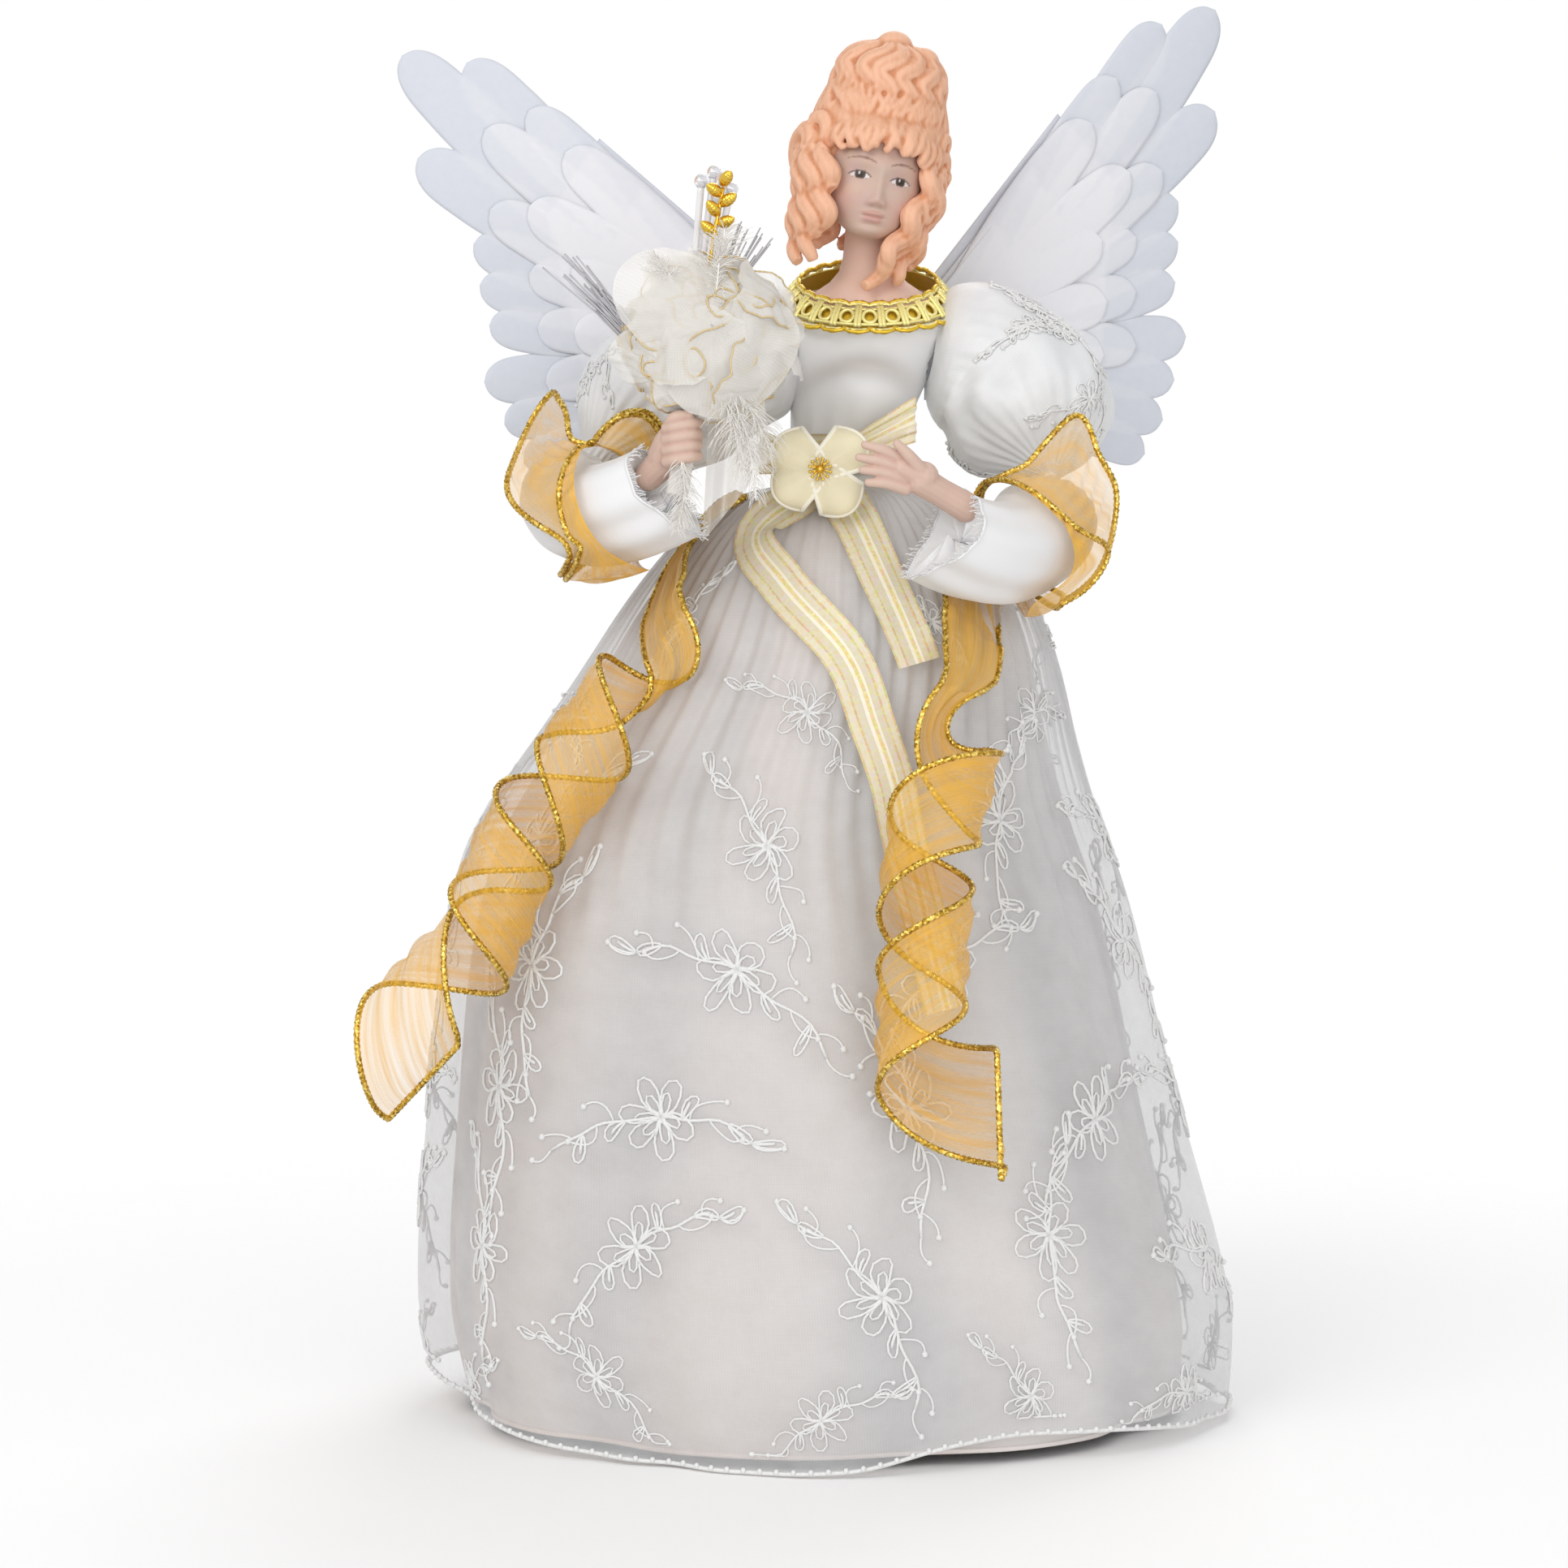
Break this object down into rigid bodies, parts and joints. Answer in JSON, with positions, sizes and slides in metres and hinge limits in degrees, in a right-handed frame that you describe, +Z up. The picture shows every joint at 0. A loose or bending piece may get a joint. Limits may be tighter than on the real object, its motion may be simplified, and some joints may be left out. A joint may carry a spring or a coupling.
{
  "type": "angel tree topper",
  "caption": "Doll angel in a white embroidered gown on a hollow cone for a tree's leader, with folding feather wings, a bouquet, curled gold ribbons and a battery fibre light.",
  "frame": {"origin": "centre of the cone's bottom rim, where the tree's leader goes in", "axes": "+Z up along the cone, the angel faces -Y, and its left arm is on +X"},
  "size_m": [0.2436, 0.2281, 0.4055],
  "materials": {
    "cardboard": "matte",
    "foam": "matte",
    "beech": "bare",
    "lining": "matte",
    "organza": "sheer, embroidered",
    "satin": "satin",
    "gold_braid": "metallic thread",
    "ivory_ribbon": "sheer, gold stripes",
    "gold_organza": "sheer, corded edges",
    "skin": "matte paint",
    "hair_paint": "matte paint",
    "wire": "drawn",
    "tulle": "sheer",
    "clear_berry": "clear gloss",
    "gold_bead": "gold plated",
    "fibre": "gloss",
    "feather_sheet": "translucent film",
    "moulding": "moulded",
    "switch_black": "moulded",
    "cell": "printed sleeve, plain",
    "lead_jacket": "extruded"
  },
  "bodies": {
    "body": {"cone_core": "cardboard", "torso_block": "foam", "neck_dowel": "beech", "skirt_lining": "lining", "skirt_overlay": "organza", "bodice": "satin", "head_and_shoulder_plate": "skin", "moulded_hair": "hair_paint", "collar_braid": "gold_braid", "waist_sash": "ivory_ribbon", "sash_bow": "ivory_ribbon", "sash_tail_long": "ivory_ribbon", "sash_tail_short": "ivory_ribbon", "ribbon_flower": "ivory_ribbon", "flower_stamens": "gold_bead", "right_gold_tail": "gold_organza", "left_gold_tail": "gold_organza", "fibre_trunk": "fibre", "wing_bracket": "moulding", "lamp_housing": "moulding", "led_lamp": "clear_berry", "fibre_ferrule": "moulding", "battery_box": "moulding", "battery_cell_1": "cell", "battery_cell_2": "cell", "battery_cell_3": "cell", "contact_plate_bottom": "wire", "contact_plate_top": "wire", "lamp_lead": "lead_jacket"},
    "right_arm": {"right_arm_wire": "wire", "right_hand": "skin", "right_puff_sleeve": "organza", "right_elbow_wrap": "gold_organza", "right_cuff": "satin", "arm_fibre_bundle": "fibre", "bouquet_holder": "moulding", "bouquet_ruffle_back": "tulle", "bouquet_ruffle_front": "tulle", "berry_pick": "clear_berry", "gold_berry_sprig": "gold_bead", "fibre_tuft_outer": "fibre", "fibre_tuft_inner": "fibre", "marabou_plume": "tulle"},
    "left_arm": {"left_arm_wire": "wire", "left_hand": "skin", "left_puff_sleeve": "organza", "left_elbow_wrap": "gold_organza", "left_cuff": "satin"},
    "right_wing": {"right_wing_wire": "wire", "right_wing_feathers_back": "feather_sheet", "right_wing_feathers_middle": "feather_sheet", "right_wing_feathers_front": "feather_sheet"},
    "left_wing": {"left_wing_wire": "wire", "left_wing_feathers_back": "feather_sheet", "left_wing_feathers_middle": "feather_sheet", "left_wing_feathers_front": "feather_sheet"},
    "switch": {"switch_slider": "switch_black"},
    "door": {"battery_door": "moulding"}
  },
  "joints": [
    {"name": "right_shoulder", "type": "hinge", "parent": "body", "child": "right_arm", "pos_m": [0.0109, 0, 0.303], "axis": [-1, 0, 0], "range_deg": [0, 15]},
    {"name": "left_shoulder", "type": "hinge", "parent": "body", "child": "left_arm", "pos_m": [0.0109, 0, 0.303], "axis": [-1, 0, 0], "range_deg": [0, 25]},
    {"name": "right_wing_fold", "type": "hinge", "parent": "body", "child": "right_wing", "pos_m": [-0.0041, 0.0228, 0.305], "axis": [0, 0, -1], "range_deg": [0, 50]},
    {"name": "left_wing_fold", "type": "hinge", "parent": "body", "child": "left_wing", "pos_m": [0.0209, 0.0228, 0.305], "axis": [0, 0, 1], "range_deg": [0, 40]},
    {"name": "light_switch", "type": "slide", "parent": "body", "child": "switch", "axis": [1, 0, 0], "range_m": [0, 0.003]},
    {"name": "battery_door_slide", "type": "slide", "parent": "body", "child": "door", "axis": [1, 0, 0], "range_m": [0, 0.03]}
  ]
}
